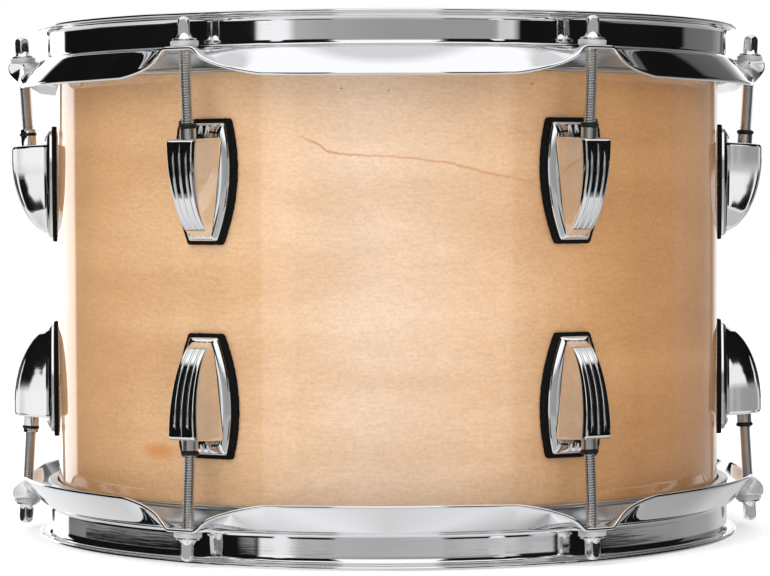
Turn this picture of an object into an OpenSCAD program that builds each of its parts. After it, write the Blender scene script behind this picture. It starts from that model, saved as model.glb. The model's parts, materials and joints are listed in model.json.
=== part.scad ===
// Double-headed tom drum: a wooden shell with a head, a flesh hoop and a
// triple-flanged counter hoop at each end. Twelve cast lugs hold the swivel
// nuts that the tension rods screw into. The drum stands on its resonant rim,
// so z = 0 is the lip of the lower hoop and +Z is the drum's axis.

/* [Shell] */
// Outside diameter of the wooden shell
shell_d = 298.4; // [280:0.1:330]
// Depth of the shell from bearing edge to bearing edge
shell_h = 203.2; // [190:0.1:320]
// Wall thickness of the shell
shell_t = 6; // [5:0.5:8]
// Bore of the air vent
vent_bore_d = 8.4; // [6:0.1:10]

/* [Counter hoops] */
// Thickness of the hoops' steel sheet
sheet_t = 1.6; // [1.2:0.1:2.3]
// Height of the rim's lip above the bearing edge
rim_rise = 11.2; // [9:0.1:16]
// Lowest edge of the skirt, measured down from the bearing edge
skirt_drop = 17.5; // [16:0.1:19]
// Lean of the skirt away from the drum's axis
skirt_lean = 33; // [28:1:36]

/* [Tension rods] */
// Lugs on each head
lug_count = 6; // [6:1:8]
// Lean of each rod: its head is farther out than its tip
rod_tilt = 3.45; // [2:0.05:4]
// Pitch diameter of the rod's thread
rod_d = 4.9; // [4.4:0.1:5]
// Length of the rod below its flange
rod_len = 50; // [46:1:52]
// Width across the flats of the square head
key_w = 4.8; // [4.6:0.1:5.6]
// Height of the square head above its flange
key_h = 8.8; // [7:0.1:10]

/* [Lugs] */
// Length of the lug's gasket along the drum's axis
gasket_len = 51.4; // [50:0.1:53]
// Thickness of the gasket
gasket_t = 2; // [1:0.1:2.5]
// Height of the lug's ridge above the shell
ridge_h = 20.2; // [19.5:0.1:21]
// Width of the ridge's face
face_w = 12.2; // [11:0.1:13]
// Outside diameter of the swivel nut's tube
nut_d = 6.6; // [6.4:0.1:7]

/* [Hidden] */
$fn = 96;
eps = 0.01;
arc_steps = 6;

// Heights are measured from the drum's middle plane, and radii from its axis.
shell_r = shell_d / 2;
edge_z = shell_h / 2;
lip_z = edge_z + rim_rise;
mid_z = lip_z;
lug_step = 360 / lug_count;

// Counter hoop: wall, lip, shoulder and skirt are one bent sheet.
wall_r = shell_r + 4.3;
lip_r = shell_r + 8.6;
lip_bend = 2.9;
shoulder_z = edge_z - 5;
shoulder_r = shell_r + 8.4;
shoulder_bend = 2;
fillet = 2;
inner_bend = 1.2;
skirt_z = edge_z - skirt_drop;

// Ears of the hoop, in the frame of a rod: x outwards, y round the drum,
// z along the rod, with the origin where the rod leaves the ear's top face.
rod_r = shell_r + 15.45;
ear_z = edge_z - 3;
ear_flat = 6;
ear_fall = 12.5;
ear_drop = ear_z - skirt_z - sheet_t;
ear_steps = [0, 3, 6, 8, 10, 13, 17, 22, 28, 36, 46];
ear_side = 46;
ear_hole_d = 6.2;
skirt_r = shell_r + 16.9;

// Head: a film over the bearing edges, held in a channel in the flesh hoop.
film_t = 0.25;
crown_r = shell_r - 1.7;
collar_r = shell_r + 1.7;
collar_z = edge_z - 6.8;
flesh_top = shoulder_z;
flesh_z = edge_z - 13.2;
flesh_in = shell_r + 0.7;
flesh_out = shell_r + 4.8;
slot_in = shell_r + 1.1;
slot_out = shell_r + 2.1;
slot_z = edge_z - 10.3;

// Tension rods: washer, flange and square head stand on the ear.
washer_d = 11.5;
washer_h = 2.1;
flange_d = 10;
flange_h = 1;
foot_h = 1.6;
dome_r = 4.6;
key_turns = [38, 20, 8, 41, 30, 62, 12, 14, 33, 42, 24, 5];

// Lugs: z runs from the tail to the end of the gasket nearest the hoop.
tail_z = 18.2;
gasket_r = shell_r + gasket_t;
base_r = gasket_r + 1.8;
tier_r = gasket_r + 3.8;
base_inset = 2.3;
tier_inset = 5.1;
tail_half = 8.3;
half_rise = 0.4266;
half_fall = 0.00679;
outline_steps = 14;
cut_z = 61.3;
cut_r = 162.3;
cut_slope = tan(rod_tilt);
ridge_z = 56;
ridge_reach = 35.5;
step_angle = 64.5;
tier_tail_z = tail_z + 3.2;
root_half = 10.4;
wall_t = 2;
screw_z = [28.5, 53.5];
screw_d = 3.8;
boss_d = 7.2;
boss_end = shell_r + 7.6;
web_t = 2;

// Swivel nuts, in the rod's frame.
nut_top = -33.2;
nut_end = -50;
nut_bore_d = rod_d + 0.6;
collar_top = -39.9;
collar_h = 3;
collar_d = 9.2;
sleeve_d = 8.6;
ring_d = 7.7;
ring_h = 1.9;

SIDES = ["batter", "resonant"];

// Half the width of the gasket at a height z, before any inset.
function half_width(z) = let (v = z - tail_z) tail_half + half_rise * v - half_fall * v * v;

// How much of the ear's height is left at a distance s round the drum.
function ear_share(s) = s < ear_flat ? 1 : exp((ear_flat - s) / ear_fall);

// How far the hoop's edge stands out beyond the skirt near an ear.
function ear_reach(s) = 4.6 * exp(-max(0, s - 4) / 6);

// Points along an arc from angle a to angle b.
function arc(mid, r, a, b) = [for (k = [0:arc_steps]) let (t = a + (b - a) * k / arc_steps) mid + r * [cos(t), sin(t)]];

// Points on both sides of an ear, from -ear_side to ear_side.
function both_sides() = concat([for (k = [len(ear_steps) - 1:-1:1]) -ear_steps[k]], ear_steps);

// ---- placing ----

// A side's parts are drawn for the upper head. The lower ones are mirrored.
module on_side(side) {
    translate([0, 0, mid_z])
        if (side == "batter") children();
        else mirror([0, 0, 1]) children();
}

module at_lug(side, i) {
    on_side(side) rotate([0, 0, (i - 1) * lug_step]) children();
}

module rod_frame() {
    translate([rod_r, 0, ear_z]) rotate([0, rod_tilt, 0]) children();
}

// A disc with its axis across the shell wall, from radius a to radius b.
module across(a, b, d) {
    translate([a, 0, 0]) rotate([0, 90, 0]) cylinder(h = b - a, d = d);
}

module ring(inner, outer, low, high) {
    difference() {
        translate([0, 0, low]) cylinder(h = high - low, r = outer, $fn = 240);
        translate([0, 0, low - 1]) cylinder(h = high - low + 2, r = inner, $fn = 240);
    }
}

// ---- shell ----

module screw_places() {
    for (side = SIDES, i = [1:lug_count], z = screw_z)
        at_lug(side, i) translate([0, 0, z]) children();
}

module vent_place() {
    translate([0, 0, mid_z]) rotate([0, 0, 90]) children();
}

module shell() {
    inner = shell_r - shell_t;
    color([0.86, 0.68, 0.46])
    difference() {
        translate([0, 0, mid_z])
            rotate_extrude($fn = 240)
                polygon([
                    [inner, edge_z - shell_t + 1.7], [crown_r, edge_z], [shell_r, edge_z - 1.7],
                    [shell_r, 1.7 - edge_z], [crown_r, -edge_z], [inner, shell_t - 1.7 - edge_z]
                ]);
        screw_places() across(inner - 3, shell_r + 3, screw_d + 0.6);
        vent_place() across(inner - 3, shell_r + 3, vent_bore_d + 2);
    }
}

module vent_grommet() {
    inner = shell_r - shell_t - 0.3;
    color([0.85, 0.85, 0.87])
    vent_place() difference() {
        union() {
            across(inner - 0.9, shell_r + 0.9, vent_bore_d + 1.6);
            across(shell_r + 0.05, shell_r + 0.9, vent_bore_d + 7.6);
            across(inner - 0.9, inner, vent_bore_d + 6.6);
        }
        across(inner - 3, shell_r + 3, vent_bore_d);
    }
}

// ---- heads ----

module head_film(side) {
    bend = collar_r - crown_r;
    color([0.93, 0.93, 0.90])
    on_side(side) rotate_extrude($fn = 240) {
        translate([0, edge_z]) square([crown_r, film_t]);
        translate([crown_r, edge_z - bend + film_t]) intersection() {
            difference() {
                circle(r = bend);
                circle(r = bend - film_t);
            }
            square(bend);
        }
        translate([collar_r - film_t, collar_z]) square([film_t, edge_z - bend + film_t - collar_z]);
    }
}

module flesh_hoop(side) {
    bead = 0.95;
    color([0.72, 0.73, 0.74])
    on_side(side) rotate_extrude($fn = 240) difference() {
        union() {
            translate([flesh_in, flesh_z + bead]) square([slot_out - flesh_in, flesh_top - flesh_z - bead]);
            translate([slot_out - eps, flesh_z + bead]) square([flesh_out - 0.4 - slot_out, flesh_top - flesh_z - bead]);
            translate([flesh_in, flesh_z]) square([flesh_out - bead - flesh_in, 2 * bead]);
            translate([flesh_out - bead, flesh_z + bead]) circle(r = bead);
        }
        translate([slot_in, slot_z]) square([slot_out - slot_in, flesh_top]);
        translate([flesh_in - 1, slot_z + 2.2]) square([slot_in - flesh_in + 1 + eps, flesh_top]);
    }
}

// ---- counter hoops ----

// Corner where the skirt leaves the shoulder, and the skirt's own direction.
skirt_dir = [sin(skirt_lean), -cos(skirt_lean)];
skirt_out = [cos(skirt_lean), sin(skirt_lean)];
corner_mid = [shoulder_r - shoulder_bend, shoulder_z + sheet_t - shoulder_bend];
skirt_top = corner_mid + (shoulder_bend - sheet_t / 2) * skirt_out;
skirt_len = (skirt_top[1] - skirt_z - sheet_t / 2) / cos(skirt_lean);
skirt_end = skirt_top + skirt_len * skirt_dir;

// Lip, wall, shoulder and the start of the skirt as one outline.
module rim_section() {
    bend_mid = [wall_r + lip_bend, lip_z - sheet_t - lip_bend];
    lip_end = [lip_r - sheet_t / 2, lip_z - sheet_t / 2];
    overlap = 0.5 * skirt_dir;
    polygon(concat(
        [skirt_top + sheet_t / 2 * skirt_out + overlap],
        arc(corner_mid, shoulder_bend, skirt_lean, 90),
        arc([wall_r + fillet, shoulder_z + sheet_t + fillet], fillet, 270, 180),
        arc(bend_mid, lip_bend, 180, 90),
        arc(lip_end, sheet_t / 2, -90, 90),
        arc(bend_mid, lip_bend + sheet_t, 90, 180),
        arc([wall_r - sheet_t + inner_bend, shoulder_z + inner_bend], inner_bend, 180, 270),
        arc(corner_mid, shoulder_bend - sheet_t, 90, skirt_lean),
        [skirt_top - sheet_t / 2 * skirt_out + overlap]
    ));
}

module skirt_section() {
    half = sheet_t / 2 * skirt_out;
    polygon(concat([skirt_top - half, skirt_top + half], arc(skirt_end, sheet_t / 2, skirt_lean, skirt_lean - 180)));
}

// The space under the skirt, which the ears' side ramps stay out of.
module under_skirt_section() {
    half = sheet_t / 2 * skirt_out;
    polygon([
        [shell_r, skirt_z - 9], [shell_r, shoulder_z], [corner_mid[0], shoulder_z],
        skirt_top - half, skirt_top - half + (skirt_len + 12) * skirt_dir
    ]);
}

// An ear's ramp seen from outside the drum: flat at the rod, then falling.
function ramp_line(lower) = [for (s = both_sides()) [s, -ear_drop * (1 - ear_share(abs(s))) - lower]];

module ramp_outline() {
    top = ramp_line(0);
    bottom = ramp_line(sheet_t);
    polygon(concat(top, [for (k = [len(bottom) - 1:-1:0]) bottom[k]]));
}

module arch_outline() {
    polygon(concat(ramp_line(sheet_t / 2), [[ear_side, -40], [-ear_side, -40]]));
}

// Stands an outline of [s, z] points up across the hoop, from x = a to x = b.
module stand_up(a, b) {
    translate([a, 0, 0]) rotate([90, 0, 90]) linear_extrude(height = b - a) children();
}

module ear_plan() {
    polygon(concat(
        [[-9, ear_side], [-9, -ear_side]],
        [for (s = both_sides()) [sqrt(skirt_r * skirt_r - s * s) - rod_r + ear_reach(abs(s)), s]]
    ));
}

module ear() {
    difference() {
        rod_frame() intersection() {
            stand_up(-9, 9) ramp_outline();
            translate([0, 0, -30]) linear_extrude(height = 40) ear_plan();
        }
        rotate_extrude($fn = 240) under_skirt_section();
    }
}

module counter_hoop(side) {
    color([0.80, 0.82, 0.84])
    on_side(side) difference() {
        union() {
            rotate_extrude($fn = 240) rim_section();
            difference() {
                rotate_extrude($fn = 240) skirt_section();
                for (i = [1:lug_count]) rotate([0, 0, (i - 1) * lug_step])
                    rod_frame() stand_up(-9.5, 9) arch_outline();
            }
            for (i = [1:lug_count]) rotate([0, 0, (i - 1) * lug_step]) ear();
        }
        for (i = [1:lug_count]) rotate([0, 0, (i - 1) * lug_step])
            rod_frame() translate([0, 0, -6]) cylinder(h = 12, d = ear_hole_d);
    }
}

// ---- tension rods ----

module rod_washers(side) {
    color([0.86, 0.87, 0.88])
    for (i = [1:lug_count]) at_lug(side, i) rod_frame()
        translate([0, 0, 0.02]) difference() {
            cylinder(h = washer_h, d = washer_d);
            translate([0, 0, -1]) cylinder(h = washer_h + 2, d = rod_d + 1);
        }
}

// Round envelope of the square head: it trims the corners and domes the top.
module key_envelope(low, top) {
    corner_r = 0.665 * key_w;
    polygon(concat(
        [[0, low], [corner_r, low]],
        arc([0, top - dome_r], dome_r, acos(corner_r / dome_r), 90)
    ));
}

module tension_rod(side, i) {
    turn = key_turns[(side == "batter" ? 0 : 6) + (i - 1) % 6];
    flange_z = washer_h + 0.04;
    head_z = flange_z + flange_h;
    top_z = head_z + key_h;
    color([0.82, 0.83, 0.85])
    at_lug(side, i) rod_frame() {
        translate([0, 0, flange_z - rod_len]) cylinder(h = rod_len + eps, d = rod_d);
        translate([0, 0, flange_z]) cylinder(h = flange_h, d = flange_d);
        translate([0, 0, head_z - eps]) cylinder(h = foot_h, d1 = 1.45 * key_w, d2 = 0.92 * key_w);
        intersection() {
            rotate([0, 0, turn]) translate([-key_w / 2, -key_w / 2, head_z - 0.5]) cube([key_w, key_w, 2 * key_h]);
            rotate_extrude() key_envelope(head_z - 1, top_z);
        }
    }
}

// ---- lugs ----

// The lug's outline in [round the drum, along the axis], drawn in by an inset.
module lug_outline(inset, low, high) {
    z0 = max(tail_z + inset * 0.8, low);
    z1 = min(tail_z + gasket_len - inset * 0.8, high);
    right = [for (k = [0:outline_steps]) let (z = z0 + (z1 - z0) * k / outline_steps) [half_width(z) - inset, z]];
    left = [for (k = [outline_steps:-1:0]) [-right[k][0], right[k][1]]];
    polygon(concat(right, left));
}

// An outline as a plate between two radii, bent round the shell.
module lug_plate(inner, outer, inset, low = 0, high = 999) {
    intersection() {
        translate([inner - 3, 0, 0]) rotate([90, 0, 90])
            linear_extrude(height = outer - inner + 6) lug_outline(inset, low, high);
        ring(inner, outer, 0, 90);
    }
}

module lug_gaskets(side) {
    color([0.07, 0.07, 0.07])
    for (i = [1:lug_count]) at_lug(side, i) difference() {
        lug_plate(shell_r, gasket_r, 0);
        for (z = screw_z) translate([0, 0, z]) across(shell_r - 5, gasket_r + 5, screw_d + 0.8);
    }
}

function cut_at(r) = cut_z - (r - cut_r) * cut_slope;

// The ridge seen from the side, in [radius, height]. An inset makes the cavity.
module ridge_profile(inset) {
    top = shell_r + ridge_h - inset;
    steps = 14;
    polygon(concat(
        [[gasket_r - 2, cut_at(gasket_r) - inset * 1.1], [top - 1.2, cut_at(top) - inset * 1.1],
            [top, cut_at(top) - 1.2 - inset * 1.1]],
        [for (k = [0:steps]) let (a = step_angle * k / steps)
            [shell_r + (ridge_h - inset) * cos(a), ridge_z - (ridge_reach - inset) * sin(a)]],
        [[tier_r - inset, tier_tail_z + inset * 1.3], [gasket_r - 2, tier_tail_z + inset * 1.3]]
    ));
}

// The ridge seen along the drum's axis, in [radius, round the drum].
module ridge_section(inset) {
    top = shell_r + ridge_h - inset;
    half = face_w / 2 - inset;
    root = root_half - inset;
    polygon([
        [gasket_r - 3, root], [tier_r, root - 0.5], [top - 0.7, half + 0.3], [top + 0.01, half - 0.4],
        [top + 0.01, 0.4 - half], [top - 0.7, -half - 0.3], [tier_r, 0.5 - root], [gasket_r - 3, -root]
    ]);
}

module ridge(inset, plan_inset) {
    intersection() {
        rotate([90, 0, 0]) linear_extrude(height = 40, center = true) ridge_profile(inset);
        translate([0, 0, 10]) linear_extrude(height = 60) ridge_section(inset);
        translate([gasket_r - 3, 0, 0]) rotate([90, 0, 90]) linear_extrude(height = 30)
            lug_outline(plan_inset, tier_tail_z, 69);
    }
}

// Bosses for the screws, each on a web that crosses the cavity.
module screw_bosses() {
    for (z = screw_z) translate([0, 0, z]) {
        across(gasket_r - 4, boss_end, boss_d);
        translate([gasket_r - 4, -root_half, -web_t / 2]) cube([boss_end - gasket_r + 3, 2 * root_half, web_t]);
    }
}

module lug_casing(side, i) {
    color([0.78, 0.80, 0.82])
    at_lug(side, i) difference() {
        union() {
            lug_plate(gasket_r, base_r, base_inset);
            lug_plate(gasket_r, tier_r, tier_inset, tier_tail_z, cut_z + 1.4);
            difference() {
                ridge(0, tier_inset);
                cylinder(h = 90, r = gasket_r, $fn = 240);
            }
        }
        difference() {
            ridge(wall_t, tier_inset + wall_t);
            screw_bosses();
        }
        for (z = screw_z) translate([0, 0, z]) across(gasket_r - 4, boss_end + 1, screw_d + 0.1);
        rod_frame() translate([0, 0, -42]) cylinder(h = 10, d = nut_d + 0.3);
    }
}

module swivel_nut(side, i) {
    color([0.66, 0.66, 0.66])
    at_lug(side, i) rod_frame() difference() {
        union() {
            translate([0, 0, nut_end]) cylinder(h = nut_top - nut_end, d = nut_d);
            translate([0, 0, collar_top - collar_h]) cylinder(h = collar_h, d = collar_d);
        }
        translate([0, 0, nut_end - 1]) cylinder(h = nut_top - nut_end + 2, d = nut_bore_d);
    }
}

// A soft sleeve round each nut stops it rattling in its casing.
module nut_sleeves(side) {
    color([0.85, 0.85, 0.80])
    for (i = [1:lug_count]) at_lug(side, i) rod_frame() difference() {
        translate([0, 0, nut_end + 1]) cylinder(h = collar_top - collar_h - nut_end - 1.2, d = sleeve_d);
        translate([0, 0, nut_end]) cylinder(h = 12, d = nut_d + 0.1);
    }
}

module nut_rings(side) {
    bore_r = nut_bore_d / 2;
    color([0.05, 0.05, 0.05])
    for (i = [1:lug_count]) at_lug(side, i) rod_frame()
        translate([0, 0, nut_top + 0.02 + ring_h / 2]) rotate_extrude() intersection() {
            translate([(ring_d - ring_h) / 2, 0]) circle(d = ring_h);
            translate([bore_r, -ring_h]) square([ring_d, 2 * ring_h]);
        }
}

module lug_screws(side) {
    seat = shell_r - shell_t - 0.15 - 1.25;
    color([0.55, 0.56, 0.58])
    for (i = [1:lug_count], z = screw_z) at_lug(side, i) translate([0, 0, z]) {
        across(seat - 2.4, seat, 7);
        across(seat - eps, boss_end - 0.8, screw_d);
    }
}

module screw_washers(side) {
    seat = shell_r - shell_t - 0.15;
    color([0.62, 0.63, 0.65])
    for (i = [1:lug_count], z = screw_z) at_lug(side, i) translate([0, 0, z]) difference() {
        across(seat - 1.2, seat, 11);
        across(seat - 3, seat + 3, screw_d + 0.3);
    }
}

// ---- nodes ----

shell();
vent_grommet();
for (side = SIDES) {
    head_film(side);
    flesh_hoop(side);
    counter_hoop(side);
    rod_washers(side);
    lug_gaskets(side);
    nut_rings(side);
    nut_sleeves(side);
    lug_screws(side);
    screw_washers(side);
    for (i = [1:lug_count]) {
        tension_rod(side, i);
        lug_casing(side, i);
        swivel_nut(side, i);
    }
}
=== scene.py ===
"""Looks of the tom drum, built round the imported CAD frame.

Lengths are in millimetres in the code and scaled once, in the side frames. A
side frame has its origin on the drum's axis at the middle plane, with z
towards that side's head, so one set of shapes serves both heads. In a lug
frame, x points outwards through the lug. In a rod frame, z runs up the rod
from the ear's top face.
"""

import json
import math

import bmesh
import bpy
import numpy as np
from mathutils import Matrix, Vector, noise


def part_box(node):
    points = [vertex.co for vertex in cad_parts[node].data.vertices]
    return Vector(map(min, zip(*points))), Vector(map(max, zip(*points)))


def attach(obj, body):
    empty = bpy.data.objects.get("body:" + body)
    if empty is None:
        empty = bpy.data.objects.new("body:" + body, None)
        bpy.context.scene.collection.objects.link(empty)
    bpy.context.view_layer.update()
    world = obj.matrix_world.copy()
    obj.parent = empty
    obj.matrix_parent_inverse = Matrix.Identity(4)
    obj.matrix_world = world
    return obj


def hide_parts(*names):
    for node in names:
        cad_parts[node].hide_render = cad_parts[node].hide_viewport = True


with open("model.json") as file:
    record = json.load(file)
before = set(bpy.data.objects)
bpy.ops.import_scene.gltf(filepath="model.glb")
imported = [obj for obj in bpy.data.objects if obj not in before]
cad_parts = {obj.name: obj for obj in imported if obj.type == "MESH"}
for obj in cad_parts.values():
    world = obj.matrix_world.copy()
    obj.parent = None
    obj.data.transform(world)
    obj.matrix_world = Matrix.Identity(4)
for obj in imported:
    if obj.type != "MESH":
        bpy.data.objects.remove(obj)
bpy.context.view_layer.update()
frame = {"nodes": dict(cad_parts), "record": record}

MM = 0.001
SIDES = ("batter", "resonant")
LUGS = range(1, 7)
LUG_STEP = 60

shell_low, shell_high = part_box("shell")
SHELL_R = shell_high.x / MM
MID_Z = (shell_low.z + shell_high.z) / 2 / MM
EDGE_Z = shell_high.z / MM - MID_Z
SHELL_T = 6.0

# Counter hoop
SHEET = 1.6
WALL_R = SHELL_R + 4.3
LIP_R = SHELL_R + 8.6
LIP_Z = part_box("batter_hoop")[1].z / MM - MID_Z
LIP_BEND = 2.9
FOOT_BEND = 2
SHOULDER_R = WALL_R + 2.1
SHOULDER_Z = EDGE_Z - 5
SKIRT_LEAN = math.radians(33)
SKIRT_DOME = 0.18
SKIRT_Z = EDGE_Z - 17.5
ROD_R = SHELL_R + 15.45
EAR_Z = EDGE_Z - 3
EAR_TIP_R = SHELL_R + 21.4
EAR_FLAT = 7.3
EAR_FALL = 17.0
EAR_HOLE_R = 3.1
ROD_TILT = math.radians(3.45)

# Tension rods and swivel nuts, in the rod frame
PITCH = 1.0583
THREAD_R = 2.7
ROD_PLAY = 0.22
CORE_R = 2.12
WASHER_H = 2.1
WASHER_R = 5.75
FLANGE_R = 5.0
FLANGE_H = 1.0
FLANGE_LOW = WASHER_H + 0.04
KEY_W = 4.8
KEY_H = 8.8
KEY_CORNER = 0.55
KEY_DOME = 3.3
KEY_FOOT_R = 3.75
KEY_FOOT_H = 2.6
KEY_FOOT_SLOPE = 0.62
ROD_END = WASHER_H - 50
NUT_TOP = -33.2
COLLAR_TOP = -39.9
COLLAR_END = -42.9
COLLAR_R = 4.6
NUT_END = -50.0
NUT_R = 3.3
RING_R = 3.85
RING_H = 1.9

# Lugs, in the lug frame
TAIL_Z = 18.2
GASKET_LEN = 51.4
CUT_Z = 61.3
CUT_R = 162.3
CREST = 20.2
RIB_HALF = 0.52
RIB_HEIGHT = 0.42
RIB_SPREAD = 3.2
RIB_SPREAD_LOW = 2.75

# Height above the shell, and how far the outline is drawn in at the sides, the top and the tail
BASE_STEPS = (
    (2.02, 2.15, 1.75, 1.6), (2.98, 2.15, 1.75, 1.6), (3.0, 2.15, 1.75, 1.6), (3.13, 2.22, 1.82, 1.66),
    (3.6, 2.75, 2.4, 2.0), (4.12, 3.6, 3.8, 2.5), (4.5, 4.5, 5.3, 3.0), (4.75, 5.5, 6.9, 3.5),
    (4.7, 6.1, 7.6, 4.0), (4.0, 7.2, 9.5, 6.0),
)
# Height above the shell, and how far the outline is drawn in
GASKET_STEPS = ((0.02, 0.5), (0.0, 0.1), (0.7, 0.0), (1.3, 0.0), (1.85, 0.12), (2.0, 0.55))

# How far each square key is turned, in degrees
KEY_TURNS = {
    "batter": (38, 20, 8, 41, 30, 62),
    "resonant": (12, 14, 33, 42, 24, 5),
}


# ---- frames ----

ROD_IN_LUG = Matrix.Translation((ROD_R, 0, EAR_Z)) @ Matrix.Rotation(ROD_TILT, 4, "Y")


def side_matrix(side):
    """Side frame in millimetres to the row's frame in metres."""
    flip = 1 if side == "batter" else -1
    return Matrix.Translation((0, 0, MID_Z * MM)) @ Matrix.Diagonal((MM, MM, flip * MM, 1))


def lug_in_side(i):
    """Lug frame to side frame, both in millimetres."""
    return Matrix.Rotation(math.radians((i - 1) * LUG_STEP), 4, "Z")


def rod_in_side(i):
    return lug_in_side(i) @ ROD_IN_LUG


def lug_matrix(side, i):
    return side_matrix(side) @ lug_in_side(i)


def rod_matrix(side, i):
    return side_matrix(side) @ rod_in_side(i)


# ---- mesh helpers ----

def shape(name, verts, faces, matrix, sharp=35):
    """A smooth-shaded mesh object, with edges sharper than the given angle left crisp."""
    mesh = bpy.data.meshes.new(name)
    mesh.from_pydata([tuple(v) for v in verts], [], faces)
    mesh.transform(matrix)
    if matrix.determinant() < 0:
        mesh.flip_normals()
    bm = bmesh.new()
    bm.from_mesh(mesh)
    bmesh.ops.remove_doubles(bm, verts=bm.verts, dist=1e-7)
    bmesh.ops.recalc_face_normals(bm, faces=bm.faces)
    limit = math.radians(sharp)
    for face in bm.faces:
        face.smooth = True
    for edge in bm.edges:
        edge.smooth = len(edge.link_faces) == 2 and edge.calc_face_angle(0) < limit
    bm.to_mesh(mesh)
    bm.free()
    piece = bpy.data.objects.new(name, mesh)
    bpy.context.scene.collection.objects.link(piece)
    return piece


def join(*parts):
    """Vertices and faces of several parts as one list each."""
    verts = []
    faces = []
    for part_verts, part_faces in parts:
        start = len(verts)
        verts += list(part_verts)
        faces += [tuple(start + k for k in face) for face in part_faces]
    return verts, faces


def moved(part, matrix):
    verts, faces = part
    return [matrix @ Vector(v) for v in verts], faces


def grid(rows, wrap_rows=False, wrap_columns=False, cap=False):
    """Quads over equal rows of points. A cap closes the first and the last row."""
    count = len(rows)
    width = len(rows[0])
    verts = [v for row in rows for v in row]
    faces = []
    for a in range(count if wrap_rows else count - 1):
        b = (a + 1) % count
        for k in range(width if wrap_columns else width - 1):
            m = (k + 1) % width
            faces.append((a * width + k, a * width + m, b * width + m, b * width + k))
    if cap:
        faces.append(tuple(range(width))[::-1])
        faces.append(tuple((count - 1) * width + k for k in range(width)))
    return verts, faces


def lathe(profile, steps, closed=False):
    """Spins [radius, z] points about z. An open profile is closed at the axis by flat caps."""
    rows = []
    for k in range(steps):
        a = 2 * math.pi * k / steps
        rows.append([(r * math.cos(a), r * math.sin(a), z) for r, z in profile])
    verts, faces = grid(rows, wrap_rows=True, wrap_columns=closed)
    if not closed:
        width = len(profile)
        faces.append(tuple(k * width for k in range(steps))[::-1])
        faces.append(tuple(k * width + width - 1 for k in range(steps)))
    return verts, faces


def arc(mid, radius, start, end, steps):
    """Points round an arc in a section, with the angles in degrees."""
    points = []
    for k in range(steps + 1):
        a = math.radians(start + (end - start) * k / steps)
        points.append((mid[0] + radius * math.cos(a), mid[1] + radius * math.sin(a)))
    return points


def corner_curve(before, point, after, cut, steps):
    """Points of a curve that cuts a corner off, from a length before it to as far past it."""
    p = Vector(point)
    a = p + (Vector(before) - p).normalized() * cut
    b = p + (Vector(after) - p).normalized() * cut
    points = []
    for n in range(steps + 1):
        t = n / steps
        q = a * (1 - t) ** 2 + p * 2 * t * (1 - t) + b * t ** 2
        points.append((q.x, q.y))
    return points


def rounded(points, radius):
    """A closed section with every corner rounded, by less than half of its shorter side."""
    out = []
    for k, point in enumerate(points):
        before = points[k - 1]
        after = points[(k + 1) % len(points)]
        shorter = min(math.dist(point, before), math.dist(point, after))
        out += corner_curve(before, point, after, min(radius, 0.45 * shorter), 4)
    return out


def smooth_step(low, high, value):
    """Goes smoothly from 0 at low to 1 at high, and stays level past both."""
    t = min(1.0, max(0.0, (value - low) / (high - low)))
    return t * t * (3 - 2 * t)


def cut_out(piece, cutter):
    """Cuts a mesh object out of a piece, and removes the cutter."""
    modifier = piece.modifiers.new("cut", "BOOLEAN")
    modifier.operation = "DIFFERENCE"
    modifier.solver = "EXACT"
    modifier.object = cutter
    graph = bpy.context.evaluated_depsgraph_get()
    made = bpy.data.meshes.new_from_object(piece.evaluated_get(graph))
    piece.modifiers.clear()
    piece.data = made
    bpy.data.objects.remove(cutter)


def cylinder(radius, low, high):
    return lathe([(radius, low), (radius, high)], 48)


# ---- material helpers ----

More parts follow.
